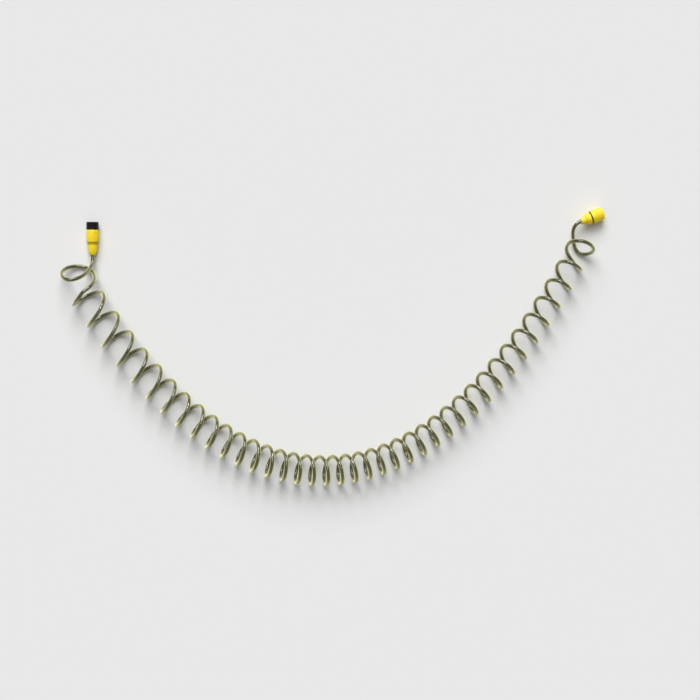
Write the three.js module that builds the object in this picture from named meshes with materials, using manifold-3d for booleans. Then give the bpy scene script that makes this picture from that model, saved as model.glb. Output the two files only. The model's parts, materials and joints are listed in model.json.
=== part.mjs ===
// A coiled water hose, laid out in a U on the floor, with a quick coupling on each end. Millimetres, +Z up.
//
// The coil's U opens towards +Y. The tap end is at -X: a tap adaptor plugged into a quick coupling. The free end
// is at +X: a second coupling with a stop valve inside. The origin lies on the floor, under the middle of the box
// around the adaptor and the two couplings.
//
// Each coupling is built on its own axis, z, which runs from the hose towards the coupling's mouth, and is then
// laid on the floor. Turned profiles are lists of [radius, z]. s is measured from the rear edge of the release
// sleeve, because everything ahead of that edge is the same in both couplings.

import * as THREE from "three";
import { mergeVertices } from "three/addons/utils/BufferGeometryUtils.js";
import Module from "manifold-3d";

const wasm = await Module();
wasm.setup();

// ---------- driving dimensions ----------

const GAP = 0.3; // clearance between pieces that touch or slide
const TURN_SIDES = 24; // facets round a turned piece

// hose
const HOSE_RADIUS = 5;
const HOSE_BORE_RADIUS = 3.95;
const COIL_LEAN = THREE.MathUtils.degToRad(21); // the turns lean along the coil's axis
const TAP_END_TURN = 40.4; // radius of the coil at its tap end, to the middle of the hose
const FREE_END_TURN = 30.2; // and at its free end

// The coil's axis on the floor. u runs from about -1 at the tap end to about 1 at the free end.
const axisX = (u) => 20.8 + 680.7 * u - 54.6 * u ** 2 - 19.7 * u ** 3;
const axisY = (u) => -599.3 + 128.5 * u + 560.9 * u ** 2 - 66 * u ** 3;
const FIRST_TURN = 1;
const MIDDLE_TURN = 20; // where u is 0
const LAST_TURN = 38;

// tap coupling and the adaptor plugged into it
const TAP_COUPLING = {
  prefix: "tap",
  position: [-641.6, -60, 16],
  heading: 90, // degrees round +Z from +X, to the mouth
  tilt: 0, // degrees that the mouth points down
  nutLength: 26,
  sleeveStart: 33,
  neckRadius: 12.4,
  flangeRadius: 12.9,
  skirtBore: 13.2,
  skirtBoreEnd: 17,
  mouthRadius: 13.6,
  sleeveTravel: 5,
  sleeveOutline: [
    [14.2, 0],
    [15, 3.5],
    [15.5, 7],
    [16, 13],
    [16, 20],
    [15.6, 27],
    [15.1, 29.9],
    [14.2, 31],
  ],
  nutOutline: [
    [6.4, 0],
    [7.7, 1.6],
    [9, 4],
    [10.9, 9],
    [11.8, 13],
    [12.8, 19],
    [13, 26],
  ],
  stopValve: false,
};

// free coupling
const FREE_COUPLING = {
  prefix: "free",
  position: [597.3, 25, 26.9],
  heading: 20.5,
  tilt: 11,
  nutLength: 26.5,
  sleeveStart: 29.5,
  neckRadius: 15.4,
  flangeRadius: 15.4,
  skirtBore: 15.8,
  skirtBoreEnd: 7,
  mouthRadius: 14.2,
  sleeveTravel: 2.6,
  sleeveOutline: [
    [16.8, 0],
    [17.6, 3],
    [17.8, 7],
    [17.4, 14],
    [17, 22],
    [16.4, 26.5],
    [15.9, 29.4],
    [15, 31],
  ],
  nutOutline: [
    [6.8, 0],
    [8, 1.6],
    [9.2, 5.5],
    [10.6, 12],
    [12.8, 14.6],
    [14.6, 18],
    [15.5, 21.5],
    [15.9, 26.5],
  ],
  stopValve: true,
};

// what both couplings share, with z from the sleeve's rear edge
const BORE_RADIUS = 8.9; // the socket that a plug slides into
const BODY_RADIUS = 10.6;
const BODY_END = 26.2;
const FLANGE = [1.5, 3.5];
const RIB = [17, 19]; // the rib inside the sleeve, which the spring pushes on
const RAMP_END = 23.2; // up to here the cone inside the sleeve holds the claws in
const SLEEVE_LENGTH = 31;
const SOCKET_FLOOR = 8.5;
const CLAW_COUNT = 3;
const CLAW_WIDTH = 4.4;
const CLAW_SPAN = [19.5, 22.7];
const CLAW_REACH = [7.6, 11.4]; // radius of the claw's tip, and of its back at the rear
const CLAW_TRAVEL = 0.9; // how far a claw moves out while the sleeve is pulled back

// hose grip, with z from the nut's hose end
const BOSS_START = 19.3;
const BOSS_RADIUS = 10;
const BARB_TIP = 7;
const BARB_RADIUS = 3.6;
const BARB_BORE = 2.7;
const NUT_BORE = 5.6;
const NUT_THREAD_RADIUS = 10.4;
const COLLET_BORE = 5.2;
const COLLET_SPAN = [5.4, BOSS_START - 0.4];

// stop valve in the free coupling
const CHAMBER_RADIUS = 6.5;
const CHAMBER_SPAN = [-8, 5.7];
const SEAT_SPAN = [6, 8.3];

// ---------- shape helpers ----------

function solidOf(geometry) {
  const bare = new THREE.BufferGeometry();
  const source = geometry.index ? geometry.toNonIndexed() : geometry;
  bare.setAttribute("position", source.getAttribute("position").clone());
  const merged = mergeVertices(bare, 1e-3);
  return new wasm.Manifold(
    new wasm.Mesh({
      numProp: 3,
      vertProperties: new Float32Array(merged.attributes.position.array),
      triVerts: new Uint32Array(merged.index.array),
    }),
  );
}

function geometryOf(solid) {
  const mesh = solid.getMesh();
  const geometry = new THREE.BufferGeometry();
  geometry.setAttribute("position", new THREE.BufferAttribute(mesh.vertProperties, 3));
  geometry.setIndex(new THREE.BufferAttribute(mesh.triVerts, 1));
  return geometry;
}

// Turns a closed outline of [radius, z] points round the z axis. The outline runs anticlockwise, with the
// radius to the right and z up.
function turned(outline, sides = TURN_SIDES) {
  const points = [...outline, outline[0]].map(([radius, z]) => new THREE.Vector2(radius, z));
  return new THREE.LatheGeometry(points, sides).rotateX(Math.PI / 2);
}

// A block that spans radii [low, high] and heights [low, high], width wide, on the +X side, turned by angle.
function radialBlock(radii, heights, width, angle) {
  const [low, high] = radii;
  const [start, end] = heights;
  return new THREE.BoxGeometry(high - low, width, end - start)
    .translate((low + high) / 2, 0, (start + end) / 2)
    .rotateZ(angle);
}

// A round or oval section. On a level path its first radius points up and its second one across.
function section(upRadius, sides, acrossRadius = upRadius) {
  const shape = new THREE.Shape();
  for (let i = 0; i < sides; i++) {
    const angle = (i / sides) * 2 * Math.PI;
    const [x, y] = [upRadius * Math.cos(angle), acrossRadius * Math.sin(angle)];
    if (i === 0) shape.moveTo(x, y);
    else shape.lineTo(x, y);
  }
  return shape;
}

function pathThrough(points) {
  return new THREE.CatmullRomCurve3(points, false, "centripetal");
}

function swept(shape, path, steps) {
  return new THREE.ExtrudeGeometry(shape, { steps, bevelEnabled: false, extrudePath: path });
}

// A compression spring round the z axis, from low to high.
function spring(radius, wireRadius, low, high, turns) {
  const stepsPerTurn = 14;
  const points = [];
  for (let i = 0; i <= turns * stepsPerTurn; i++) {
    const t = i / (turns * stepsPerTurn);
    const angle = t * turns * 2 * Math.PI;
    const z = low + wireRadius + t * (high - low - 2 * wireRadius);
    points.push(new THREE.Vector3(radius * Math.cos(angle), radius * Math.sin(angle), z));
  }
  return swept(section(wireRadius, 6), pathThrough(points), turns * stepsPerTurn);
}

// ---------- materials ----------

const plastic = (color, roughness) => new THREE.MeshStandardMaterial({ color, roughness, metalness: 0 });
const yellow = () => plastic(0xf5d514, 0.38);
const gold = () => plastic(0xb29812, 0.4);
const black = () => plastic(0x151515, 0.5);
const whiteAcetal = () => plastic(0xe9e6dc, 0.45);
const rubber = () => plastic(0x101010, 0.8);
const hosePlastic = () => plastic(0x8d8c4a, 0.3);
const steel = () => new THREE.MeshStandardMaterial({ color: 0xb9bcc0, roughness: 0.3, metalness: 1 });

function piece(name, geometry, material) {
  const mesh = new THREE.Mesh(geometry, material);
  mesh.name = name;
  return mesh;
}

// ---------- coupling ----------

function couplingBody(coupling) {
  const s = coupling.sleeveStart;
  const neckStart = coupling.nutLength + GAP;
  const outside = [
    [BARB_BORE, BARB_TIP],
    [BARB_BORE + 0.4, BARB_TIP],
    [BARB_RADIUS, BARB_TIP + 2],
    [BARB_RADIUS, BOSS_START],
    [BOSS_RADIUS, BOSS_START],
    [BOSS_RADIUS, neckStart],
    [coupling.neckRadius, neckStart],
    [coupling.neckRadius, s + FLANGE[0]],
    [coupling.flangeRadius, s + FLANGE[0]],
    [coupling.flangeRadius, s + FLANGE[1]],
    [BODY_RADIUS, s + FLANGE[1]],
    [BODY_RADIUS, s + BODY_END],
    [BORE_RADIUS + 0.4, s + BODY_END],
    [BORE_RADIUS, s + BODY_END - 0.5],
  ];
  const plainBore = [
    [BORE_RADIUS, s + SOCKET_FLOOR],
    [BARB_BORE + 1.3, s + SOCKET_FLOOR],
    [BARB_BORE, s + SOCKET_FLOOR - 2],
  ];
  const valveBore = [
    [BORE_RADIUS, s + CHAMBER_SPAN[1]],
    [CHAMBER_RADIUS, s + CHAMBER_SPAN[1]],
    [CHAMBER_RADIUS, s + CHAMBER_SPAN[0]],
    [BARB_BORE, s + CHAMBER_SPAN[0]],
  ];
  const outline = [...outside, ...(coupling.stopValve ? valveBore : plainBore)];
  let solid = solidOf(turned(outline.filter(isCorner)));
  for (const angle of clawAngles()) {
    const window = radialBlock(
      [BORE_RADIUS - 2, BODY_RADIUS + 1],
      [s + CLAW_SPAN[0] - GAP, s + CLAW_SPAN[1] + GAP],
      CLAW_WIDTH + 2 * GAP,
      angle,
    );
    solid = solid.subtract(solidOf(window));
  }
  return geometryOf(solid);
}

// False for a point that repeats the one before it, as the flange's step does where the neck is as wide.
function isCorner([r, z], i, outline) {
  return i === 0 || r !== outline[i - 1][0] || z !== outline[i - 1][1];
}

function clawAngles() {
  return Array.from({ length: CLAW_COUNT }, (_, i) => Math.PI / 2 + (i * 2 * Math.PI) / CLAW_COUNT);
}

// The slope of the cone inside the sleeve, and of the claws' backs, which it slides along.
const rampSlope = (coupling) => CLAW_TRAVEL / coupling.sleeveTravel;

// A claw, with its back sloped like the sleeve's cone, and its front sloped so that a plug pushes it out.
function claw(coupling, angle) {
  const [tip, back] = CLAW_REACH;
  const [rear, front] = CLAW_SPAN.map((z) => coupling.sleeveStart + z);
  const side = new THREE.Shape([
    new THREE.Vector2(back, rear),
    new THREE.Vector2(back + rampSlope(coupling) * (front - rear), front),
    new THREE.Vector2(tip + 1.4, front),
    new THREE.Vector2(tip, front - 1.6),
    new THREE.Vector2(tip, rear + 0.4),
    new THREE.Vector2(tip + 0.4, rear),
  ]);
  return new THREE.ExtrudeGeometry(side, { depth: CLAW_WIDTH, bevelEnabled: false })
    .translate(0, 0, -CLAW_WIDTH / 2)
    .rotateX(Math.PI / 2)
    .rotateZ(angle);
}

function releaseSleeve(coupling) {
  const s = coupling.sleeveStart;
  const ribBore = BODY_RADIUS + GAP;
  const springBore = TAP_COUPLING.skirtBore;
  const clawCorner = Math.hypot(CLAW_REACH[1], CLAW_WIDTH / 2);
  const ramp = (z) => clawCorner + 0.4 + rampSlope(coupling) * (z - CLAW_SPAN[0]);
  const inside = [
    [coupling.mouthRadius, SLEEVE_LENGTH],
    [coupling.mouthRadius, RAMP_END],
    [ramp(RAMP_END), RAMP_END],
    [ramp(RIB[1]), RIB[1]],
    [ribBore, RIB[1]],
    [ribBore, RIB[0]],
    [springBore, RIB[0]],
  ];
  if (coupling.skirtBoreEnd < RIB[0]) {
    inside.push([springBore, coupling.skirtBoreEnd], [coupling.skirtBore, coupling.skirtBoreEnd]);
  }
  inside.push([coupling.skirtBore, 0]);
  return turned([...coupling.sleeveOutline, ...inside].map(([r, z]) => [r, s + z]));
}

function hoseNut(coupling) {
  return turned([
    [NUT_BORE, 0],
    ...coupling.nutOutline,
    [NUT_THREAD_RADIUS, coupling.nutLength],
    [NUT_THREAD_RADIUS, 15.5],
    [9.3, 14.6],
    [6.3, 5.2],
    [NUT_BORE, 4.4],
  ]);
}

// The split ring that the nut's cone squeezes onto the hose.
function collet() {
  const [start, end] = COLLET_SPAN;
  const ring = turned([
    [COLLET_BORE, start],
    [6, start],
    [8.9, 14.7],
    [8.9, end],
    [COLLET_BORE, end],
  ]);
  let solid = solidOf(ring);
  for (const angle of [0, Math.PI / 2, Math.PI, (3 * Math.PI) / 2]) {
    solid = solid.subtract(solidOf(radialBlock([0, 12], [start - 1, 13.5], 1, angle)));
  }
  return geometryOf(solid);
}

function valveSeat(s) {
  return turned([
    [4.8, s + SEAT_SPAN[0]],
    [BORE_RADIUS - 0.15, s + SEAT_SPAN[0]],
    [BORE_RADIUS - 0.15, s + SEAT_SPAN[1]],
    [5.4, s + SEAT_SPAN[1]],
  ]);
}

// The plunger: a disc behind the seat, a stem through it, and three fins that the plug pushes on.
function valvePlunger(s) {
  const stem = turned([
    [0, s + 2.4],
    [5.6, s + 2.4],
    [5.6, s + 3.8],
    [2, s + 3.8],
    [2, s + 12.6],
    [0, s + 13],
  ]);
  let solid = solidOf(stem);
  for (const angle of clawAngles()) {
    solid = solid.add(solidOf(radialBlock([0.5, 4.4], [s + 6, s + 12.4], 1.2, angle)));
  }
  return geometryOf(solid);
}

function valveSeal(s) {
  return turned([
    [2.1, s + 3.9],
    [5.7, s + 3.9],
    [5.4, s + 5.7],
    [2.1, s + 5.7],
  ]);
}

function addCoupling(group, coupling) {
  const { prefix, sleeveStart: s } = coupling;
  const bodyMaterial = coupling.stopValve ? black() : gold();
  group.add(
    piece(`${prefix}_coupling_body`, couplingBody(coupling), bodyMaterial),
    piece(`${prefix}_release_sleeve`, releaseSleeve(coupling), yellow()),
    piece(`${prefix}_sleeve_spring`, spring(11.9, 0.5, s + FLANGE[1] + GAP, s + RIB[0] - GAP, 5), steel()),
    piece(`${prefix}_collet`, collet(), whiteAcetal()),
    piece(`${prefix}_hose_nut`, hoseNut(coupling), yellow()),
  );
  clawAngles().forEach((angle, i) => {
    group.add(piece(`${prefix}_claw_${i + 1}`, claw(coupling, angle), whiteAcetal()));
  });
  if (coupling.stopValve) {
    group.add(
      piece("valve_seat", valveSeat(s), black()),
      piece("valve_plunger", valvePlunger(s), whiteAcetal()),
      piece("valve_seal", valveSeal(s), rubber()),
      piece("valve_spring", spring(4.6, 0.4, s + CHAMBER_SPAN[0] + GAP, s + 2.1, 4), steel()),
    );
  }
}

// ---------- tap adaptor ----------

// A threaded socket for the tap, and the plug that the tap coupling's claws hold. z is from the sleeve's rear.
const ADAPTOR = {
  plugTip: 9.2,
  plugRadius: 8.3,
  ringGroove: [12.6, 15],
  clawGroove: [19, 23.2],
  headStart: SLEEVE_LENGTH + 0.4,
  headEnd: SLEEVE_LENGTH + 20,
  headRadius: 15.5,
  socketRadius: 13.2,
  socketFloor: 39,
  waterway: 4.5,
};

function tapAdaptor(s) {
  const a = ADAPTOR;
  return turned(
    [
      [a.waterway, a.plugTip],
      [a.plugRadius - 1.2, a.plugTip],
      [a.plugRadius, a.plugTip + 1.8],
      [a.plugRadius, a.ringGroove[0]],
      [6.9, a.ringGroove[0]],
      [6.9, a.ringGroove[1]],
      [a.plugRadius, a.ringGroove[1]],
      [a.plugRadius, a.clawGroove[0]],
      [7.2, a.clawGroove[0]],
      [7.2, a.clawGroove[1]],
      [8.4, a.clawGroove[1]],
      [8.4, a.headStart],
      [a.headRadius - 2.2, a.headStart],
      [a.headRadius, a.headStart + 2],
      [a.headRadius, a.headEnd - 1],
      [a.headRadius - 0.8, a.headEnd],
      [a.socketRadius, a.headEnd],
      [a.socketRadius, a.socketFloor],
      [a.waterway, a.socketFloor],
    ].map(([r, z]) => [r, s + z]),
  );
}

function oRing(radius, wireRadius, z) {
  const sides = 8;
  const outline = [];
  for (let i = 0; i < sides; i++) {
    const angle = (i / sides) * 2 * Math.PI;
    outline.push([radius + wireRadius * Math.cos(angle), z + wireRadius * Math.sin(angle)]);
  }
  return turned(outline);
}

function addAdaptor(group, s) {
  const [grooveStart, grooveEnd] = ADAPTOR.ringGroove;
  const washerStart = s + ADAPTOR.socketFloor + 0.1;
  const washer = turned([
    [5.5, washerStart],
    [ADAPTOR.socketRadius - 0.3, washerStart],
    [ADAPTOR.socketRadius - 0.3, washerStart + 2.2],
    [5.5, washerStart + 2.2],
  ]);
  group.add(
    piece("tap_adaptor", tapAdaptor(s), black()),
    piece("adaptor_o_ring", oRing(7.85, 0.8, s + (grooveStart + grooveEnd) / 2), rubber()),
    piece("adaptor_washer", washer, rubber()),
  );
}

// ---------- hose ----------

// The hose's route between each coupling and the coil, from the hose end of the nut.
const TAP_END_ROUTE = [
  [-641.6, -60, 16],
  [-641.6, -66, 16],
  [-640.8, -73.1, 17.5],
  [-642.4, -83.2, 20.5],
];
const FREE_END_ROUTE = [
  [597.3, 25, 26.9],
  [592.3, 22.7, 27.8],
  [587.6, 19.4, 28.1],
  [583.1, 14.6, 27.6],
  [580.6, 10.6, 26.9],
];

// The end of the hose that is pushed over the barb, inside the nut.
function hoseOnBarb() {
  const start = -1; // it runs a little past the nut's end, into the tube outside
  return turned([
    [HOSE_BORE_RADIUS, start],
    [HOSE_RADIUS, start],
    [HOSE_RADIUS, BOSS_START - GAP],
    [HOSE_BORE_RADIUS, BOSS_START - GAP],
  ], 12);
}

function hoseEnd(route, group) {
  const points = route.map((p) => new THREE.Vector3(...p));
  const outside = solidOf(swept(section(HOSE_RADIUS, 12), pathThrough(points), 6));
  const gripped = solidOf(hoseOnBarb().applyMatrix4(group.matrix));
  return geometryOf(outside.add(gripped));
}

// Makes a swept tube slimmer towards the end of its path, and keeps its underside on the floor. The tube is at its
// full size where its path starts.
function tapered(tube, path, steps, endScale) {
  const centres = path.getSpacedPoints(steps);
  const position = tube.getAttribute("position");
  const vertex = new THREE.Vector3();
  for (let i = 0; i < position.count; i++) {
    vertex.fromBufferAttribute(position, i);
    const distances = centres.map((centre) => centre.distanceTo(vertex));
    const step = distances.indexOf(Math.min(...distances));
    const centre = centres[step].clone().setZ(0);
    vertex.sub(centre).multiplyScalar(THREE.MathUtils.lerp(1, endScale, step / steps)).add(centre);
    position.setXYZ(i, ...vertex);
  }
  return tube;
}

// The coil's envelope: one fat tube along the coil's axis, from the tap end to the free end.
function coilEnvelope() {
  const turns = [];
  for (let n = FIRST_TURN; n <= LAST_TURN; n++) {
    const u = n / MIDDLE_TURN - 1;
    turns.push([axisX(u), axisY(u)]);
  }
  const axis = [[-678.5, -89], [-677.4, -108], [-669, -132], ...turns, [588.5, -48], [611.6, -23.6]];
  const halfWidth = TAP_END_TURN + HOSE_RADIUS;
  const halfHeight = TAP_END_TURN * Math.cos(COIL_LEAN) + HOSE_RADIUS;
  const path = pathThrough(axis.map(([x, y]) => new THREE.Vector3(x, y, halfHeight)));
  const steps = 64;
  const tube = swept(section(halfHeight, 16, halfWidth), path, steps);
  return tapered(tube, path, steps, (FREE_END_TURN + HOSE_RADIUS) / halfWidth);
}

// ---------- assembly ----------

function couplingGroup(coupling) {
  const heading = THREE.MathUtils.degToRad(coupling.heading);
  const tilt = THREE.MathUtils.degToRad(coupling.tilt);
  const along = new THREE.Vector3(
    Math.cos(heading) * Math.cos(tilt),
    Math.sin(heading) * Math.cos(tilt),
    -Math.sin(tilt),
  );
  const level = new THREE.Vector3(Math.sin(heading), -Math.cos(heading), 0);
  const group = new THREE.Group();
  const basis = new THREE.Matrix4().makeBasis(level, along.clone().cross(level), along);
  group.quaternion.setFromRotationMatrix(basis);
  group.position.set(...coupling.position);
  group.updateMatrix();
  return group;
}

const hose = new THREE.Group();
const tapGroup = couplingGroup(TAP_COUPLING);
const freeGroup = couplingGroup(FREE_COUPLING);
addCoupling(tapGroup, TAP_COUPLING);
addAdaptor(tapGroup, TAP_COUPLING.sleeveStart);
addCoupling(freeGroup, FREE_COUPLING);
hose.add(
  tapGroup,
  freeGroup,
  piece("hose_tap_end", hoseEnd(TAP_END_ROUTE, tapGroup), hosePlastic()),
  piece("hose_coil", coilEnvelope(), hosePlastic()),
  piece("hose_free_end", hoseEnd(FREE_END_ROUTE, freeGroup), hosePlastic()),
);

export default hose;
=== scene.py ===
import json
import math

import bmesh
import bpy
import numpy as np
from mathutils import Matrix, Vector


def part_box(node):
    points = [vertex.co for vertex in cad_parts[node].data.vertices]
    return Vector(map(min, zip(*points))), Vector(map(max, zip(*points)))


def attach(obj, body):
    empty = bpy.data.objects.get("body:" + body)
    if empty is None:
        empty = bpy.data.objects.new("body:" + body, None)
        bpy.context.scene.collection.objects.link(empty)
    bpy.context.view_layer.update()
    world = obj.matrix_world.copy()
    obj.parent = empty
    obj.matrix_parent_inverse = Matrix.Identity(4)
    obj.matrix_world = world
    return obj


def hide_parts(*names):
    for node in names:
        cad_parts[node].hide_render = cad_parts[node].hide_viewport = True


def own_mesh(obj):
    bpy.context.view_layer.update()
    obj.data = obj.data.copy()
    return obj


# A coiled water hose laid in a U on a pale floor, with a quick coupling on each end, seen from straight
# above. The hose's route and the camera are in metres. The couplings' outlines are in millimetres, on the
# coupling's own axis z, which runs from the hose end of its nut to its mouth. s is where the release sleeve
# starts.

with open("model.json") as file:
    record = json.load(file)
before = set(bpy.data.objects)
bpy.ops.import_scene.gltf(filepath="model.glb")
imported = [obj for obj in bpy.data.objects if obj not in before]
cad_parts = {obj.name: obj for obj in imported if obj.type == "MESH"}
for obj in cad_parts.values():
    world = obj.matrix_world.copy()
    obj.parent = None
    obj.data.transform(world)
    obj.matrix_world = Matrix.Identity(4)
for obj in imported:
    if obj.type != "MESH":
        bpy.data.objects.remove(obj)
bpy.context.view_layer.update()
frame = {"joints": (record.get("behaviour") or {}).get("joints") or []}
JOINTS = {joint["name"]: joint for joint in frame["joints"]}
MM = 0.001

# ---------- camera ----------

VIEW_MIDDLE = (0.0124, -0.3008)
VIEW_WIDTH = 1.771  # at the height of the coil's middle
LENS = 150
SENSOR = 36


def add_camera():
    """A camera over the hose that looks straight down, with +Y at the top of its view."""
    data = bpy.data.cameras.new("camera")
    data.lens = LENS
    data.sensor_width = SENSOR
    camera = bpy.data.objects.new("camera", data)
    low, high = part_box("hose_coil")
    camera.location = (*VIEW_MIDDLE, (low.z + high.z) / 2 + VIEW_WIDTH * LENS / SENSOR)
    bpy.context.scene.collection.objects.link(camera)
    bpy.context.scene.camera = camera


# ---------- the hose's route ----------

HOSE_RADIUS = 0.005
HOSE_BORE_RADIUS = 0.00395
HOSE_SIDES = 24
HOSE_STEP = 0.0048  # between two rings of the hose's mesh

FIRST_TURN = 0.75
MIDDLE_TURN = 20
LAST_TURN = 38.25
POINTS_PER_TURN = 24
# The regular coil. Each of these is a polynomial in u, which is 0 at the middle turn, about -1 at the tap
# end and about 1 at the free end.
AXIS_X = (0.0208, 0.6807, -0.0546, -0.0197)  # the coil's axis on the floor
AXIS_Y = (-0.5993, 0.1285, 0.5609, -0.0660)
TURN_LENGTH = (0.2256, -0.0341)  # metres of hose in one turn
COIL_LEAN = (22.5, 0, -5.7)  # degrees that the turns lean along the axis
COIL_SWING = (-2, -11.9)  # degrees that the turns are swung round +Z

# From the tap coupling: out of the nut, and once round a loop that stands on the floor beside the coil.
TAP_END = [
    (-0.6416, -0.0410, 0.0160),
    (-0.6416, -0.0600, 0.0160),
    (-0.6416, -0.0660, 0.0160),
    (-0.6408, -0.0731, 0.0175),
    (-0.6424, -0.0832, 0.0205),
    (-0.6455, -0.0925, 0.0275),
    (-0.6505, -0.1010, 0.0380),
    (-0.6580, -0.1095, 0.0500),
    (-0.6690, -0.1175, 0.0610),
    (-0.6820, -0.1230, 0.0680),
    (-0.6955, -0.1245, 0.0680),
    (-0.7075, -0.1215, 0.0615),
    (-0.7155, -0.1150, 0.0510),
    (-0.7183, -0.1065, 0.0390),
    (-0.7150, -0.0985, 0.0275),
    (-0.7070, -0.0925, 0.0180),
    (-0.6955, -0.0890, 0.0115),
    (-0.6820, -0.0878, 0.0080),
    (-0.6685, -0.0885, 0.0065),
    (-0.6560, -0.0922, 0.0095),
    (-0.6440, -0.0990, 0.0185),
    (-0.6355, -0.1095, 0.0335),
    (-0.6322, -0.1215, 0.0505),
    (-0.6355, -0.1335, 0.0660),
    (-0.6450, -0.1440, 0.0765),
]

# To the free coupling: round one more loop, and up into the nut.
FREE_END = [
    (0.5680, -0.0615, 0.0085),
    (0.5625, -0.0520, 0.0165),
    (0.5605, -0.0430, 0.0265),
    (0.5620, -0.0340, 0.0380),
    (0.5681, -0.0275, 0.0530),
    (0.5816, -0.0245, 0.0650),
    (0.5990, -0.0260, 0.0700),
    (0.6156, -0.0315, 0.0655),
    (0.6270, -0.0398, 0.0535),
    (0.6300, -0.0480, 0.0375),
    (0.6245, -0.0537, 0.0230),
    (0.6135, -0.0581, 0.0127),
    (0.6004, -0.0576, 0.0066),
    (0.5886, -0.0500, 0.0050),
    (0.5818, -0.0372, 0.0076),
    (0.5796, -0.0205, 0.0148),
    (0.5776, -0.0090, 0.0200),
    (0.5776, 0.0005, 0.0239),
    (0.5794, 0.0080, 0.0263),
    (0.5831, 0.0146, 0.0276),
    (0.5876, 0.0194, 0.0281),
    (0.5923, 0.0227, 0.0278),
    (0.5973, 0.0250, 0.0269),
    (0.6148, 0.0315, 0.0233),
]


def polynomial(factors, n):
    return sum(factor * n**power for power, factor in enumerate(factors))


def slope(factors, n):
    return sum(power * factor * n ** (power - 1) for power, factor in enumerate(factors) if power)


def coil_point(n):
    """The middle of the hose at turn n. Each turn of the coil rests on the floor."""
    u = n / MIDDLE_TURN - 1
    pitch = Vector((slope(AXIS_X, u), slope(AXIS_Y, u), 0)) / MIDDLE_TURN
    radius = math.sqrt(polynomial(TURN_LENGTH, u) ** 2 - pitch.length_squared) / math.tau
    swing = Matrix.Rotation(math.radians(polynomial(COIL_SWING, u)), 3, "Z")
    along = swing @ pitch.normalized()
    across = Vector((-along.y, along.x, 0))
    lean = math.radians(polynomial(COIL_LEAN, u))
    leaning = Vector((0, 0, math.cos(lean))) + along * math.sin(lean)
    middle = Vector((polynomial(AXIS_X, u), polynomial(AXIS_Y, u), radius * math.cos(lean) + HOSE_RADIUS))
    angle = math.tau * n
    return middle - across * radius * math.cos(angle) - leaning * radius * math.sin(angle)


def coil_points():
    count = round((LAST_TURN - FIRST_TURN) * POINTS_PER_TURN)
    return [coil_point(FIRST_TURN + i / POINTS_PER_TURN) for i in range(count + 1)]


def smooth_line(points, samples=8):
    """A uniform cubic B-spline: it runs close to the points, and through the first and the last of them."""
    points = np.array([tuple(point) for point in points])
    points = np.concatenate([[2 * points[0] - points[1]], points, [2 * points[-1] - points[-2]]])
    t = np.linspace(0, 1, samples, endpoint=False)[:, None]
    weights = (1 - t) ** 3, 3 * t**3 - 6 * t**2 + 4, -3 * t**3 + 3 * t**2 + 3 * t + 1, t**3
    line = [sum(weights[k] * points[i + k] for k in range(4)) / 6 for i in range(len(points) - 3)]
    return np.concatenate([*line, points[-2:-1]])


def evenly(line, step):
    """The same line with its points about one step apart."""
    lengths = np.concatenate([[0], np.cumsum(np.linalg.norm(np.diff(line, axis=0), axis=1))])
    wanted = np.linspace(0, lengths[-1], round(lengths[-1] / step) + 1)
    return np.stack([np.interp(wanted, lengths, line[:, k]) for k in range(3)], axis=1)


def unit(vectors):
    return vectors / np.linalg.norm(vectors, axis=-1, keepdims=True)


def side_vectors(line):
    """Two vectors across the line at each point, which don't twist round it. It mustn't start upright."""
    tangents = unit(np.gradient(line, axis=0))
    side = np.cross(tangents[0], (0.0, 0.0, 1.0))
    sides = []
    for tangent in tangents:
        side = unit(side - tangent * (side @ tangent))
        sides.append(side)
    sides = np.array(sides)
    return sides, np.cross(tangents, sides)


# ---------- mesh helpers ----------


def mesh_piece(name, vertices, faces, uvs=None):
    """A smooth-shaded object of the vertices and faces, with its normals pointing out."""
    mesh = bpy.data.meshes.new(name)
    mesh.from_pydata([tuple(v) for v in vertices], [], faces)
    if uvs is not None:
        layer = mesh.uv_layers.new(name="along")
        corners = np.zeros(len(mesh.loops), dtype=np.int32)
        mesh.loops.foreach_get("vertex_index", corners)
        layer.data.foreach_set("uv", uvs[corners].astype(np.float32).ravel())
    return linked(name, mesh)


def linked(name, mesh):
    shell = bmesh.new()
    shell.from_mesh(mesh)
    bmesh.ops.recalc_face_normals(shell, faces=shell.faces)
    shell.to_mesh(mesh)
    shell.free()
    mesh.shade_smooth()
    piece = bpy.data.objects.new(name, mesh)
    bpy.context.scene.collection.objects.link(piece)
    return piece


def loop_faces(rows, sides, start=0, closed=False):
    """Quads between rings of vertices that follow one another in the list."""
    faces = []
    for i in range(rows if closed else rows - 1):
        here = start + i * sides
        there = start + ((i + 1) % rows) * sides
        for j in range(sides):
            k = (j + 1) % sides
            faces.append((here + j, here + k, there + k, there + j))
    return faces


def rings(line, radius, sides):
    across, up = side_vectors(line)
    angles = np.linspace(0, math.tau, sides, endpoint=False)[None, :, None]
    offsets = across[:, None, :] * np.cos(angles) + up[:, None, :] * np.sin(angles)
    return (line[:, None, :] + offsets * radius).reshape(-1, 3)


def hollow_tube(name, line, radius, bore, sides):
    """A pipe with a real wall: an outer and an inner skin, joined by a ring at each end."""
    rows = len(line)
    skin = rows * sides
    vertices = np.concatenate([rings(line, radius, sides), rings(line, bore, sides)])
    faces = loop_faces(rows, sides)
    faces += loop_faces(rows, sides, start=skin)
    for first in (0, (rows - 1) * sides):
        for j in range(sides):
            k = (j + 1) % sides
            faces.append((first + j, first + k, skin + first + k, skin + first + j))
    along = np.repeat(np.arange(rows) * HOSE_STEP, sides)
    around = np.tile(np.abs(np.linspace(-1, 1, sides, endpoint=False)), rows)
    uvs = np.tile(np.stack([around, along], axis=1), (2, 1))
    return mesh_piece(name, vertices, faces, uvs)


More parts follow.
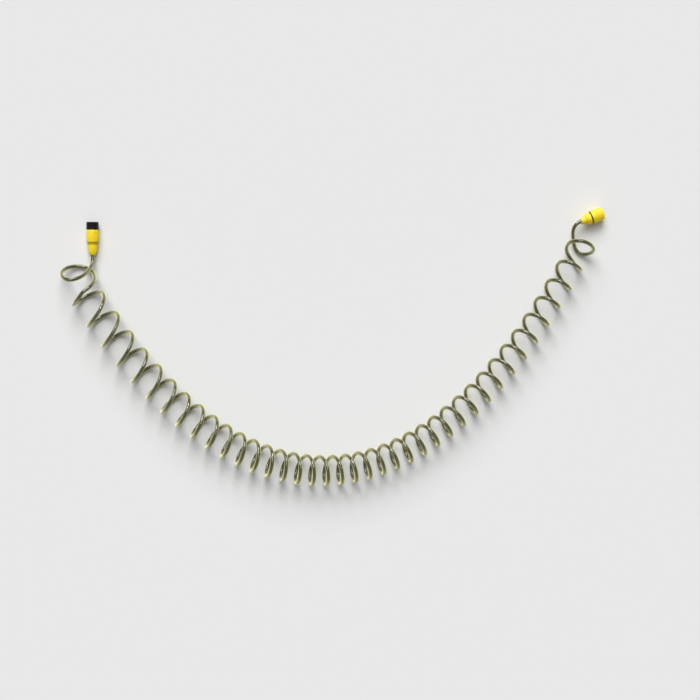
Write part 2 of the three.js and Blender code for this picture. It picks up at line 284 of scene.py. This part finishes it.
def rod(name, line, radius, sides):
    """A solid wire along the line."""
    rows = len(line)
    faces = loop_faces(rows, sides)
    faces.append(tuple(range(sides)))
    faces.append(tuple(range((rows - 1) * sides, rows * sides)))
    return mesh_piece(name, rings(line, radius, sides), faces)


SMOOTH_TURN = math.radians(38)  # a corner that turns less than this belongs to a curved outline


def rounded(outline, radius, steps=4):
    """A closed outline with its corners rounded. No rounding takes more than 45% of an edge."""
    points = [Vector(point) for point in outline]
    result = []
    for i, corner in enumerate(points):
        before = points[i - 1] - corner
        after = points[(i + 1) % len(points)] - corner
        inside = before.angle(after)
        most = 0.45 * min(before.length, after.length)
        reach = most if math.pi - inside < SMOOTH_TURN else min(most, radius / math.tan(inside / 2))
        start = corner + before.normalized() * reach
        end = corner + after.normalized() * reach
        for k in range(steps + 1):
            t = k / steps
            result.append(start.lerp(corner, t).lerp(corner.lerp(end, t), t))
    return result


def divided(outline, step):
    """The closed outline with no edge longer than step."""
    result = []
    for i, point in enumerate(outline):
        following = outline[(i + 1) % len(outline)]
        count = max(1, math.ceil((following - point).length / step))
        result += [point.lerp(following, k / count) for k in range(count)]
    return result


def turned(name, outline, corner=0.3, sides=96, relief=None, step=0.3):
    """Turns a closed outline of (radius, z) round z. relief(radius, z, angle) gives a point's new radius."""
    points = rounded(outline, corner)
    if relief:
        points = divided(points, step)
    radius = np.repeat([p.x for p in points], sides)
    z = np.repeat([p.y for p in points], sides)
    angle = np.tile(np.linspace(0, math.tau, sides, endpoint=False), len(points))
    if relief:
        radius = relief(radius, z, angle)
    vertices = np.stack([radius * np.cos(angle), radius * np.sin(angle), z], axis=1)
    return mesh_piece(name, vertices, loop_faces(len(points), sides, closed=True))


def block(size, centre, angle=0.0):
    """A box, turned about z by angle. It is only used to cut or to be joined."""
    mesh = bpy.data.meshes.new("block")
    shell = bmesh.new()
    bmesh.ops.create_cube(shell, size=1)
    shell.to_mesh(mesh)
    shell.free()
    mesh.transform(Matrix.Rotation(angle, 4, "Z") @ Matrix.Translation(centre) @ Matrix.Diagonal((*size, 1)))
    piece = bpy.data.objects.new("block", mesh)
    bpy.context.scene.collection.objects.link(piece)
    return piece


def modified(piece, kind, **settings):
    """The piece with one modifier applied."""
    modifier = piece.modifiers.new(kind, kind)
    for key, value in settings.items():
        setattr(modifier, key, value)
    depsgraph = bpy.context.evaluated_depsgraph_get()
    result = bpy.data.meshes.new_from_object(piece.evaluated_get(depsgraph))
    piece.modifiers.clear()
    piece.data = result
    return piece


def combined(piece, others, operation):
    for other in others:
        modified(piece, "BOOLEAN", operation=operation, solver="EXACT", object=other)
        bpy.data.objects.remove(other)
    piece.data.shade_smooth()
    piece.data.set_sharp_from_angle(angle=math.radians(35))
    return piece


# ---------- relief: threads, flutes and ribs ----------


def between(z, start, end, fade):
    """1 between two heights and 0 outside them, with a ramp of the given length inside each end."""
    inside = np.clip(np.minimum(z - start, end - z) / fade, 0, 1)
    return inside * inside * (3 - 2 * inside)


def helix(z, angle, pitch):
    """A right-handed wave: 1 on the helix, 0 half a pitch away."""
    return 0.5 + 0.5 * np.cos(math.tau * (z / pitch) - angle)


def flutes(angle, count, sharpness=2):
    """1 in the middle of each hollow, 0 on the ribs between them."""
    return (0.5 + 0.5 * np.cos(count * angle)) ** sharpness


# ---------- the couplings' dimensions ----------

TAP = {
    "prefix": "tap",
    "nut_length": 26,
    "sleeve_start": 33,
    "neck_radius": 12.4,
    "flange_radius": 12.9,
    "skirt_bore": 13.2,
    "skirt_bore_end": 17,
    "mouth_radius": 13.6,
    "sleeve_travel": 5,
    "sleeve_outline": [
        (14.2, 0), (15, 3.5), (15.5, 7), (16, 13), (16, 20), (15.6, 27), (15.1, 29.9), (14.2, 31),
    ],
    "nut_outline": [(6.4, 0), (7.7, 1.6), (9, 4), (10.9, 9), (11.8, 13), (12.8, 19), (13, 26)],
    "nut_grip": (6.5, 24),
    "stop_valve": False,
}
FREE = {
    "prefix": "free",
    "nut_length": 26.5,
    "sleeve_start": 29.5,
    "neck_radius": 15.4,
    "flange_radius": 15.4,
    "skirt_bore": 15.8,
    "skirt_bore_end": 7,
    "mouth_radius": 14.2,
    "sleeve_travel": 2.6,
    "sleeve_outline": [
        (16.8, 0), (17.6, 3), (17.8, 7), (17.4, 14), (17, 22), (16.4, 26.5), (15.9, 29.4), (15, 31),
    ],
    "nut_outline": [
        (6.8, 0), (8, 1.6), (9.2, 5.5), (10.6, 12), (12.8, 14.6), (14.6, 18), (15.5, 21.5), (15.9, 26.5),
    ],
    "nut_grip": (14.5, 25),
    "stop_valve": True,
}

GAP = 0.3
BORE_RADIUS = 8.9
BODY_RADIUS = 10.6
BODY_END = 26.2
FLANGE = (1.5, 3.5)
RIB = (17, 19)
RAMP_END = 23.2
SLEEVE_LENGTH = 31
SOCKET_FLOOR = 8.5
CLAW_COUNT = 3
CLAW_WIDTH = 4.4
CLAW_SPAN = (19.5, 22.7)
CLAW_REACH = (7.6, 11.4)
CLAW_TRAVEL = 0.9
NUT_MIDDLE = 13  # where the nut's joint is placed

BOSS_START = 19.3
BOSS_RADIUS = 10
BARB_TIP = 7
BARB_RADIUS = 3.6
BARB_ROOT = 3
BARB_BORE = 2.7
BARB_COUNT = 3
BARB_STEP = 4
NUT_BORE = 5.6
NUT_MOUTH = 6
NUT_THREAD_RADIUS = 10.4
NUT_THREAD_DEPTH = 0.8
NUT_THREAD_PITCH = 3
NUT_CONE = [(9.3, 14.6), (6.3, 5.2)]  # squeezes the collet
NUT_WALL = ((0, 15, 16), (8.1, 10.4, 11.5))  # heights, and radii between the nut's inside and its outside
COLLET_BORE = 5.2
COLLET_RADIUS = 8.9
COLLET_CONE = (6, 14.7)  # its radius where it starts, and where it ends along the axis
COLLET_SPAN = (5.4, BOSS_START - 0.4)
SLIT_END = 13.5
SLEEVE_SPRING = {"radius": 11.9, "wire": 0.5, "turns": 5}

CHAMBER_RADIUS = 6.5
CHAMBER_SPAN = (-8, 5.7)
SEAT_SPAN = (6, 8.3)
VALVE_SPRING = {"radius": 4.6, "wire": 0.4, "turns": 4}
VALVE_SPRING_END = 2.1

PLUG_TIP = 9.2
PLUG_RADIUS = 8.3
RING_GROOVE = (12.6, 15)
RING_GROOVE_RADIUS = 6.9
RING_RADIUS = 7.85
RING_WIRE = 0.85
CLAW_GROOVE = (19, 23.2)
CLAW_GROOVE_RADIUS = 7.2
SHANK_RADIUS = 8.4
HEAD_START = SLEEVE_LENGTH + 0.4
HEAD_END = SLEEVE_LENGTH + 20
HEAD_RADIUS = 15.5
SOCKET_RADIUS = 13.22
PIPE_THREAD_DEPTH = 1.1
PIPE_THREAD_PITCH = 1.814
PIPE_SOCKET_FLOOR = 39
WATERWAY = 4.5
WASHER = (39.1, 41.3)

GRIP_SIDES = 192


def coupling_frame(prefix):
    """The matrix from a coupling's own axes, in millimetres, to the row frame. Its x axis is level."""
    turn = JOINTS[f"{prefix}_nut_turn"]
    along = -Vector(turn["axis"]).normalized()
    level = Vector((along.y, -along.x, 0)).normalized()
    start = Vector(turn["pos_m"]) - along * NUT_MIDDLE * MM
    axes = Matrix((level, along.cross(level), along)).transposed().to_4x4()
    return Matrix.Translation(start) @ axes @ Matrix.Scale(MM, 4)


def claw_angles():
    return [math.pi / 2 + i * math.tau / CLAW_COUNT for i in range(CLAW_COUNT)]


def at(s, outline):
    return [(radius, s + z) for radius, z in outline]


# ---------- the couplings' pieces ----------


def barbs():
    outline = [(BARB_BORE, BARB_TIP)]
    for i in range(BARB_COUNT):
        z = BARB_TIP + i * BARB_STEP
        outline += [(BARB_ROOT, z), (BARB_RADIUS, z + 2), (BARB_RADIUS, z + 2.7), (BARB_ROOT, z + 2.9)]
    return outline + [(BARB_ROOT, BOSS_START)]


def socket_outline(coupling):
    s = coupling["sleeve_start"]
    if coupling["stop_valve"]:
        return [
            (BORE_RADIUS, s + CHAMBER_SPAN[1]),
            (CHAMBER_RADIUS, s + CHAMBER_SPAN[1]),
            (CHAMBER_RADIUS, s + CHAMBER_SPAN[0]),
            (BARB_BORE, s + CHAMBER_SPAN[0]),
        ]
    return [
        (BORE_RADIUS, s + SOCKET_FLOOR),
        (BARB_BORE + 1.3, s + SOCKET_FLOOR),
        (BARB_BORE, s + SOCKET_FLOOR - 2),
    ]


def coupling_body(coupling):
    """Barb, threaded boss, neck, flange and socket, with a window for each claw."""
    s = coupling["sleeve_start"]
    neck_start = coupling["nut_length"] + GAP
    flange = []
    if coupling["flange_radius"] > coupling["neck_radius"]:
        flange = at(s, [(coupling["neck_radius"], FLANGE[0]), (coupling["flange_radius"], FLANGE[0])])
    outline = [
        *barbs(),
        (BOSS_RADIUS, BOSS_START),
        (BOSS_RADIUS, neck_start),
        (coupling["neck_radius"], neck_start),
        *flange,
        (coupling["flange_radius"], s + FLANGE[1]),
        (BODY_RADIUS, s + FLANGE[1]),
        (BODY_RADIUS, s + BODY_END),
        (BORE_RADIUS, s + BODY_END),
        *socket_outline(coupling),
    ]

    def thread(radius, z, angle):
        on_boss = np.abs(radius - BOSS_RADIUS) < 0.2
        ridge = helix(z, angle, NUT_THREAD_PITCH)
        depth = NUT_THREAD_DEPTH * between(z, BOSS_START, neck_start, 0.6)
        return np.where(on_boss, radius - depth * (1 - ridge), radius)

    body = turned(f"{coupling['prefix']}_body", outline, relief=thread)
    windows = []
    for angle in claw_angles():
        height = CLAW_SPAN[1] - CLAW_SPAN[0] + 2 * GAP
        centre = ((BORE_RADIUS + BODY_RADIUS) / 2, 0, s + sum(CLAW_SPAN) / 2)
        windows.append(block((4, CLAW_WIDTH + 2 * GAP, height), centre, angle))
    return combined(body, windows, "DIFFERENCE")


def ramp_slope(coupling):
    return CLAW_TRAVEL / coupling["sleeve_travel"]


def claw(coupling, index):
    """A claw whose back slides along the cone in the sleeve."""
    tip, back = CLAW_REACH
    rear, front = (coupling["sleeve_start"] + z for z in CLAW_SPAN)
    side = [
        (back, rear),
        (back + ramp_slope(coupling) * (front - rear), front),
        (tip + 1.4, front),
        (tip, front - 1.6),
        (tip, rear + 0.4),
        (tip + 0.4, rear),
    ]
    vertices = [(x, y * CLAW_WIDTH / 2, z) for y in (-1, 1) for x, z in side]
    count = len(side)
    faces = [tuple(range(count)), tuple(range(count, 2 * count))]
    faces += [(i, (i + 1) % count, count + (i + 1) % count, count + i) for i in range(count)]
    piece = mesh_piece(f"{coupling['prefix']}_claw_lock_{index + 1}", vertices, faces)
    modified(piece, "BEVEL", width=0.18, segments=3, limit_method="ANGLE")
    piece.data.shade_smooth()
    piece.data.transform(Matrix.Rotation(claw_angles()[index], 4, "Z"))
    return piece


def release_sleeve(coupling):
    """The sleeve, with shallow grip flutes outside, and the spring's rib and the claws' cone inside."""
    s = coupling["sleeve_start"]
    spring_bore = TAP["skirt_bore"]
    claw_corner = math.hypot(CLAW_REACH[1], CLAW_WIDTH / 2)

    def ramp(z):
        return claw_corner + 0.4 + ramp_slope(coupling) * (z - CLAW_SPAN[0])

    inside = [
        (coupling["mouth_radius"], SLEEVE_LENGTH),
        (coupling["mouth_radius"], RAMP_END),
        (ramp(RAMP_END), RAMP_END),
        (ramp(RIB[1]), RIB[1]),
        (BODY_RADIUS + GAP, RIB[1]),
        (BODY_RADIUS + GAP, RIB[0]),
        (spring_bore, RIB[0]),
    ]
    skirt_bore, skirt_bore_end = coupling["skirt_bore"], coupling["skirt_bore_end"]
    if skirt_bore_end < RIB[0]:
        inside += [(spring_bore, skirt_bore_end), (skirt_bore, skirt_bore_end)]
    inside.append((skirt_bore, 0))

    def grip(radius, z, angle):
        outside = radius > coupling["mouth_radius"] + 0.9
        depth = 0.35 * between(z, s + 4, s + 25, 2.5)
        return np.where(outside, radius - depth * flutes(angle, 24), radius)

    name = f"{coupling['prefix']}_sleeve_grip"
    outline = at(s, coupling["sleeve_outline"] + inside)
    return turned(name, outline, corner=0.4, sides=GRIP_SIDES, relief=grip, step=0.8)


def hose_nut(coupling):
    """The nut that squeezes the collet onto the hose, with grip flutes outside and its thread inside."""
    length = coupling["nut_length"]
    grip_start, grip_end = coupling["nut_grip"]
    outline = [
        (NUT_BORE, 2.5),
        (NUT_MOUTH, 0),
        *coupling["nut_outline"],
        (NUT_THREAD_RADIUS, length),
        (NUT_THREAD_RADIUS, 15.5),
        *NUT_CONE,
        (NUT_BORE, 4.4),
    ]

    def relief(radius, z, angle):
        inside = np.abs(radius - NUT_THREAD_RADIUS) < 0.15
        outside = radius > np.interp(z, *NUT_WALL)
        groove = NUT_THREAD_DEPTH * (1 - helix(z, angle, NUT_THREAD_PITCH))
        thread = between(z, 15.7, length - 0.3, 0.6) * groove
        hollow = 0.55 * between(z, grip_start, grip_end, 2.5) * flutes(angle, 16)
        return radius - np.where(inside, thread, 0) - np.where(outside, hollow, 0)

    return turned(f"{coupling['prefix']}_nut", outline, corner=0.5, sides=GRIP_SIDES, relief=relief, step=0.4)


def collet(coupling):
    """The split ring between the nut and the hose, with fine teeth in its bore."""
    start, end = COLLET_SPAN
    outline = [
        (COLLET_BORE, start),
        (COLLET_CONE[0], start),
        (COLLET_RADIUS, COLLET_CONE[1]),
        (COLLET_RADIUS, end),
        (COLLET_BORE, end),
    ]

    def teeth(radius, z, angle):
        return np.where(radius < COLLET_BORE + 0.1, radius + 0.2 * helix(z, 0 * angle, 1.2), radius)

    ring = turned(f"{coupling['prefix']}_collet_ring", outline, corner=0.2, relief=teeth)
    size, centre = (8, 1, SLIT_END - start + 1), (7, 0, (SLIT_END + start - 1) / 2)
    slits = [block(size, centre, i * math.pi / 2) for i in range(4)]
    return combined(ring, slits, "DIFFERENCE")


def spring(name, low, high, radius, wire, turns):
    """A compression spring round z, with its last turn closed at each end."""
    t = np.linspace(0, 1, int(turns * 40))
    closed = 1 / turns
    rise = np.interp(t, (0, 0.8 * closed, 1 - 0.8 * closed, 1), (0, 0.09, 0.91, 1))
    z = low + wire + rise * (high - low - 2 * wire)
    angle = t * turns * math.tau
    line = np.stack([radius * np.cos(angle), radius * np.sin(angle), z], axis=1)
    return rod(name, line, wire, 12)


def valve_seat(s):
    outline = [(4.8, SEAT_SPAN[0]), (8.75, SEAT_SPAN[0]), (8.75, SEAT_SPAN[1]), (5.4, SEAT_SPAN[1])]
    return turned("stop_valve_seat", at(s, outline), corner=0.3)


def close_on_axis(piece):
    """Closes a turned piece on its axis, where its first and last rows meet."""
    shell = bmesh.new()
    shell.from_mesh(piece.data)
    bmesh.ops.remove_doubles(shell, verts=shell.verts, dist=0.03)
    bmesh.ops.dissolve_degenerate(shell, edges=shell.edges, dist=1e-5)
    bmesh.ops.recalc_face_normals(shell, faces=shell.faces)
    shell.to_mesh(piece.data)
    shell.free()


def valve_plunger(s):
    """A disc behind the seat, a stem through it, and three fins that the plug pushes on."""
    outline = [(0.01, 2.4), (5.6, 2.4), (5.6, 3.8), (2, 3.8), (2, 12.6), (1.6, 13), (0.01, 13)]
    stem = turned("stop_valve_plunger", at(s, outline), corner=0.3, sides=64)
    close_on_axis(stem)
    fins = [block((3.9, 1.2, 6.4), (2.45, 0, s + 9.2), angle) for angle in claw_angles()]
    return combined(stem, fins, "UNION")


def valve_seal(s):
    outline = [(2.1, 3.9), (5.7, 3.9), (5.4, 5.7), (2.1, 5.7)]
    return turned("stop_valve_seal", at(s, outline), corner=0.45)


def adaptor(s):
    """The plug that the claws hold, and a ribbed head with the tap's pipe thread inside."""
    outline = [
        (WATERWAY, PLUG_TIP),
        (PLUG_RADIUS - 1.2, PLUG_TIP),
        (PLUG_RADIUS, PLUG_TIP + 1.8),
        (PLUG_RADIUS, RING_GROOVE[0]),
        (RING_GROOVE_RADIUS, RING_GROOVE[0]),
        (RING_GROOVE_RADIUS, RING_GROOVE[1]),
        (PLUG_RADIUS, RING_GROOVE[1]),
        (PLUG_RADIUS, CLAW_GROOVE[0]),
        (CLAW_GROOVE_RADIUS, CLAW_GROOVE[0]),
        (CLAW_GROOVE_RADIUS, CLAW_GROOVE[1]),
        (SHANK_RADIUS, CLAW_GROOVE[1]),
        (SHANK_RADIUS, HEAD_START),
        (HEAD_RADIUS - 2.2, HEAD_START),
        (HEAD_RADIUS, HEAD_START + 2),
        (HEAD_RADIUS, HEAD_END - 1),
        (HEAD_RADIUS - 0.8, HEAD_END),
        (SOCKET_RADIUS, HEAD_END),
        (SOCKET_RADIUS, PIPE_SOCKET_FLOOR),
        (WATERWAY, PIPE_SOCKET_FLOOR),
    ]

    def relief(radius, z, angle):
        inside = np.abs(radius - SOCKET_RADIUS) < 0.15
        inside &= z > s + WASHER[1]
        outside = radius > HEAD_RADIUS - 0.5
        ridge = helix(z, angle, PIPE_THREAD_PITCH) ** 1.3
        thread = PIPE_THREAD_DEPTH * between(z, s + WASHER[1], s + HEAD_END - 0.5, 0.8) * ridge
        hollow = 0.6 * between(z, s + HEAD_START + 3, s + HEAD_END - 2.5, 1.2) * flutes(angle, 20, 1)
        return radius - np.where(inside, thread, 0) - np.where(outside, hollow, 0)

    return turned("adaptor", at(s, outline), corner=0.35, sides=GRIP_SIDES, relief=relief, step=0.2)


def torus(name, radius, wire, z):
    angles = [i * math.tau / 8 for i in range(8)]
    outline = [(radius + wire * math.cos(a), z + wire * math.sin(a)) for a in angles]
    return turned(name, outline, corner=wire)


def washer(s):
    low, high = (s + z for z in WASHER)
    rim = SOCKET_RADIUS - 0.32
    return turned("thread_washer", [(5.5, low), (rim, low), (rim, high), (5.5, high)], corner=0.4)


# ---------- materials ----------


def node(tree, kind, **inputs):
    """A new node with the inputs given: a value, or another node's output."""
    made = tree.nodes.new(kind)
    for name, value in inputs.items():
        socket = made.inputs[name.replace("_", " ")]
        if isinstance(value, bpy.types.NodeSocket):
            tree.links.new(value, socket)
        else:
            socket.default_value = value
    return made


def blank(name):
    material = bpy.data.materials.new(name)
    material.use_nodes = True
    tree = material.node_tree
    return material, tree, tree.nodes["Principled BSDF"]


def noise(tree, point, scale, detail=4.0, roughness=0.6):
    made = node(tree, "ShaderNodeTexNoise", Vector=point, Scale=scale, Detail=detail, Roughness=roughness)
    return made.outputs["Fac"]


def ranged(tree, value, low, high):
    made = node(tree, "ShaderNodeMapRange", Value=value)
    made.inputs["From Min"].default_value = 0.3
    made.inputs["From Max"].default_value = 0.7
    made.inputs["To Min"].default_value = low
    made.inputs["To Max"].default_value = high
    return made.outputs["Result"]


def tones(tree, value, dark, light):
    """A colour between two tones, by a noise."""
    ramp = node(tree, "ShaderNodeValToRGB", Fac=value)
    ramp.color_ramp.elements[0].position = 0.3
    ramp.color_ramp.elements[0].color = (*dark, 1)
    ramp.color_ramp.elements[1].position = 0.7
    ramp.color_ramp.elements[1].color = (*light, 1)
    return ramp.outputs["Color"]


def moulded(name, color, roughness, spread=0.05, grain=1500, bump=0.000015, **settings):
    """A moulded part: its colour clouds a little, and a fine grain varies its gloss and its surface."""
    material, tree, shader = blank(name)
    point = node(tree, "ShaderNodeTexCoord").outputs["Object"]
    dark = [c * (1 - spread) for c in color]
    light = [min(1, c * (1 + spread)) for c in color]
    tree.links.new(tones(tree, noise(tree, point, 45), dark, light), shader.inputs["Base Color"])
    fine = noise(tree, point, grain, detail=2.0)
    tree.links.new(ranged(tree, fine, roughness - 0.05, roughness + 0.05), shader.inputs["Roughness"])
    bumped = node(tree, "ShaderNodeBump", Height=fine, Distance=bump, Strength=1.0)
    tree.links.new(bumped.outputs["Normal"], shader.inputs["Normal"])
    for key, value in settings.items():
        shader.inputs[key.replace("_", " ")].default_value = value
    return material


def hose_plastic():
    """Clear olive polyurethane that absorbs light by depth. The sheen stands for the light in its edges."""
    material, tree, shader = blank("hose_plastic")
    settings = {
        "Transmission Weight": 1.0,
        "IOR": 1.5,
        "Coat Weight": 1.0,
        "Coat Roughness": 0.06,
        "Coat IOR": 1.6,
        "Sheen Weight": 1.0,
        "Sheen Roughness": 0.55,
        "Sheen Tint": (1.65, 1.62, 0.78, 1),
    }
    for name, value in settings.items():
        shader.inputs[name].default_value = value
    point = node(tree, "ShaderNodeUVMap").outputs["UV"]
    stretched = node(tree, "ShaderNodeVectorMath", Vector=point)
    stretched.operation = "MULTIPLY"
    stretched.inputs[1].default_value = (30, 12, 1)
    streaks = noise(tree, stretched.outputs["Vector"], 1.0, detail=3.0)
    tree.links.new(tones(tree, streaks, (0.88, 0.88, 0.70), (0.99, 0.99, 0.86)), shader.inputs["Base Color"])
    tree.links.new(ranged(tree, streaks, 0.02, 0.06), shader.inputs["Roughness"])
    bumped = node(tree, "ShaderNodeBump", Height=streaks, Distance=0.00003, Strength=1.0)
    tree.links.new(bumped.outputs["Normal"], shader.inputs["Normal"])
    absorption = node(tree, "ShaderNodeVolumeAbsorption", Color=(0.46, 0.45, 0.06, 1), Density=3400.0)
    output = tree.nodes["Material Output"]
    tree.links.new(absorption.outputs["Volume"], output.inputs["Volume"])
    return material


def spring_wire():
    """Drawn stainless wire, a little brighter and duller along its length."""
    material, tree, shader = blank("spring_wire")
    point = node(tree, "ShaderNodeTexCoord").outputs["Object"]
    marks = noise(tree, point, 900, detail=6.0)
    tree.links.new(tones(tree, marks, (0.5, 0.5, 0.5), (0.68, 0.68, 0.67)), shader.inputs["Base Color"])
    tree.links.new(ranged(tree, marks, 0.22, 0.38), shader.inputs["Roughness"])
    shader.inputs["Metallic"].default_value = 1.0
    return material


def make_materials():
    """A material for each of the record's slots."""
    dull = {"spread": 0.3, "grain": 2200, "Specular_IOR_Level": 0.22}
    return {
        "hose": hose_plastic(),
        "yellow": moulded("yellow_abs", (0.97, 0.72, 0.014), 0.36),
        # The tap coupling's body is the sleeve's yellow made darker: painted shade for the neck between its
        # nut and its sleeve.
        "gold": moulded("shade_darkened_yellow_abs", (0.46, 0.33, 0.003), 0.42, Specular_IOR_Level=0.3),
        "black": moulded("black_pp", (0.004, 0.004, 0.004), 0.42, **dull),
        "acetal": moulded("acetal", (0.8, 0.78, 0.7), 0.42, Subsurface_Weight=0.1),
        "seal": moulded("nitrile_rubber", (0.014, 0.014, 0.014), 0.7, spread=0.3, grain=3000, bump=0.00003),
        "steel": spring_wire(),
    }


# ---------- the object ----------

add_camera()
materials = make_materials()


def place(piece, matrix, body, slot, *nodes):
    """Hands a finished piece to the frame, with its body, its finish and the CAD nodes that it stands for."""
    piece.data.transform(matrix)
    piece.data.materials.clear()
    piece.data.materials.append(materials[slot])
    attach(piece, body)
    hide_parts(*nodes)
    return piece


def shortens(piece):
    """Gives a spring a mesh of its own."""
    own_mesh(piece)


def add_sleeve_spring(coupling, matrix):
    prefix = coupling["prefix"]
    low = coupling["sleeve_start"] + FLANGE[1] + GAP
    high = coupling["sleeve_start"] + RIB[0] - GAP
    piece = spring(f"{prefix}_return_spring", low, high, **SLEEVE_SPRING)
    place(piece, matrix, "hose", "steel", f"{prefix}_sleeve_spring")
    shortens(piece)
    return piece


def add_coupling(coupling, matrix):
    prefix = coupling["prefix"]
    # The tap coupling's body takes the darker yellow that paints the shade in its neck.
    body_slot = "black" if coupling["stop_valve"] else "gold"
    pieces = [
        place(coupling_body(coupling), matrix, "hose", body_slot, f"{prefix}_coupling_body"),
        place(release_sleeve(coupling), matrix, f"{prefix}_sleeve", "yellow", f"{prefix}_release_sleeve"),
        place(hose_nut(coupling), matrix, f"{prefix}_nut", "yellow", f"{prefix}_hose_nut"),
        place(collet(coupling), matrix, f"{prefix}_collet", "acetal", f"{prefix}_collet"),
        add_sleeve_spring(coupling, matrix),
    ]
    for i in range(CLAW_COUNT):
        name = f"{prefix}_claw_{i + 1}"
        pieces.append(place(claw(coupling, i), matrix, name, "acetal", name))
    return pieces


def add_stop_valve(matrix):
    s = FREE["sleeve_start"]
    low, high = s + CHAMBER_SPAN[0] + GAP, s + VALVE_SPRING_END
    wire = spring("stop_valve_spring", low, high, **VALVE_SPRING)
    place(wire, matrix, "hose", "steel", "valve_spring")
    shortens(wire)
    return [
        wire,
        place(valve_seat(s), matrix, "hose", "black", "valve_seat"),
        place(valve_plunger(s), matrix, "plunger", "acetal", "valve_plunger"),
        place(valve_seal(s), matrix, "plunger", "seal", "valve_seal"),
    ]


def add_adaptor(matrix):
    s = TAP["sleeve_start"]
    place(adaptor(s), matrix, "adaptor", "black", "tap_adaptor")
    ring = torus("plug_o_ring", RING_RADIUS, RING_WIRE, s + sum(RING_GROOVE) / 2)
    place(ring, matrix, "adaptor", "seal", "adaptor_o_ring")
    place(washer(s), matrix, "adaptor", "seal", "adaptor_washer")


def add_hose():
    line = evenly(smooth_line(TAP_END + coil_points() + FREE_END), HOSE_STEP)
    hose = hollow_tube("hose", line, HOSE_RADIUS, HOSE_BORE_RADIUS, HOSE_SIDES)
    place(hose, Matrix.Identity(4), "hose", "hose", "hose_coil", "hose_tap_end", "hose_free_end")


FLOOR_SIZE = 14


def add_floor():
    """A pale floor, wide enough for every view."""
    half = FLOOR_SIZE / 2
    mesh = bpy.data.meshes.new("floor")
    corners = [(-half, -half, 0), (half, -half, 0), (half, half, 0), (-half, half, 0)]
    mesh.from_pydata(corners, [], [(0, 1, 2, 3)])
    floor = bpy.data.objects.new("floor", mesh)
    bpy.context.scene.collection.objects.link(floor)
    material, _, shader = blank("floor_paint")
    shader.inputs["Base Color"].default_value = (0.8, 0.8, 0.8, 1)
    shader.inputs["Roughness"].default_value = 0.9
    shader.inputs["Specular IOR Level"].default_value = 0.1
    mesh.materials.append(material)


# The lamps' azimuths are in degrees from +X: the light comes from beyond the hose's open side.
KEY = {"elevation": 43, "azimuth": 100, "spread": 42, "strength": 3.08}  # a large softbox, for soft shadows
SPARK = {"elevation": 75, "azimuth": 98, "spread": 20, "strength": 0.45}  # a small one, for highlights
FILL = 0.25  # the sky's brightness at its top
BACKDROP = 0.8  # the backdrop's brightness
BACKDROP_TOP = 0.09  # how high it reaches, from 0 at the horizon to 1 straight up


def add_lamp(name, elevation, azimuth, spread, strength):
    lamp = bpy.data.lights.new(name, "SUN")
    lamp.angle = math.radians(spread)
    lamp.energy = strength
    raised = Matrix.Rotation(math.radians(-elevation), 3, "Y") @ Vector((1, 0, 0))
    toward = Matrix.Rotation(math.radians(azimuth), 3, "Z") @ raised
    light = bpy.data.objects.new(name, lamp)
    light.rotation_mode = "QUATERNION"
    light.rotation_quaternion = toward.to_track_quat("Z", "Y")
    bpy.context.scene.collection.objects.link(light)


def add_sky():
    """A pale backdrop all round the floor, and above it a sky that brightens towards its top."""
    world = bpy.data.worlds.new("sky")
    world.use_nodes = True
    tree = world.node_tree
    direction = node(tree, "ShaderNodeTexCoord").outputs["Generated"]
    height = node(tree, "ShaderNodeSeparateXYZ", Vector=direction).outputs["Z"]
    ramp = node(tree, "ShaderNodeValToRGB", Fac=height)
    stops = ramp.color_ramp.elements
    stops.remove(stops[1])
    stops[0].color = (BACKDROP, BACKDROP, BACKDROP, 1)
    for stop, level in ((BACKDROP_TOP, BACKDROP), (BACKDROP_TOP + 0.03, 0.1 * FILL), (0.8, FILL)):
        stops.new(stop).color = (level, level, level, 1)
    tree.links.new(ramp.outputs["Color"], tree.nodes["Background"].inputs["Color"])
    bpy.context.scene.world = world


tap_matrix = coupling_frame("tap")
free_matrix = coupling_frame("free")
add_coupling(TAP, tap_matrix)
add_adaptor(tap_matrix)
free_pieces = add_coupling(FREE, free_matrix) + add_stop_valve(free_matrix)
add_hose()
add_floor()
add_lamp("key", **KEY)
add_lamp("spark", **SPARK)
add_sky()
bpy.context.scene.view_settings.view_transform = "Standard"
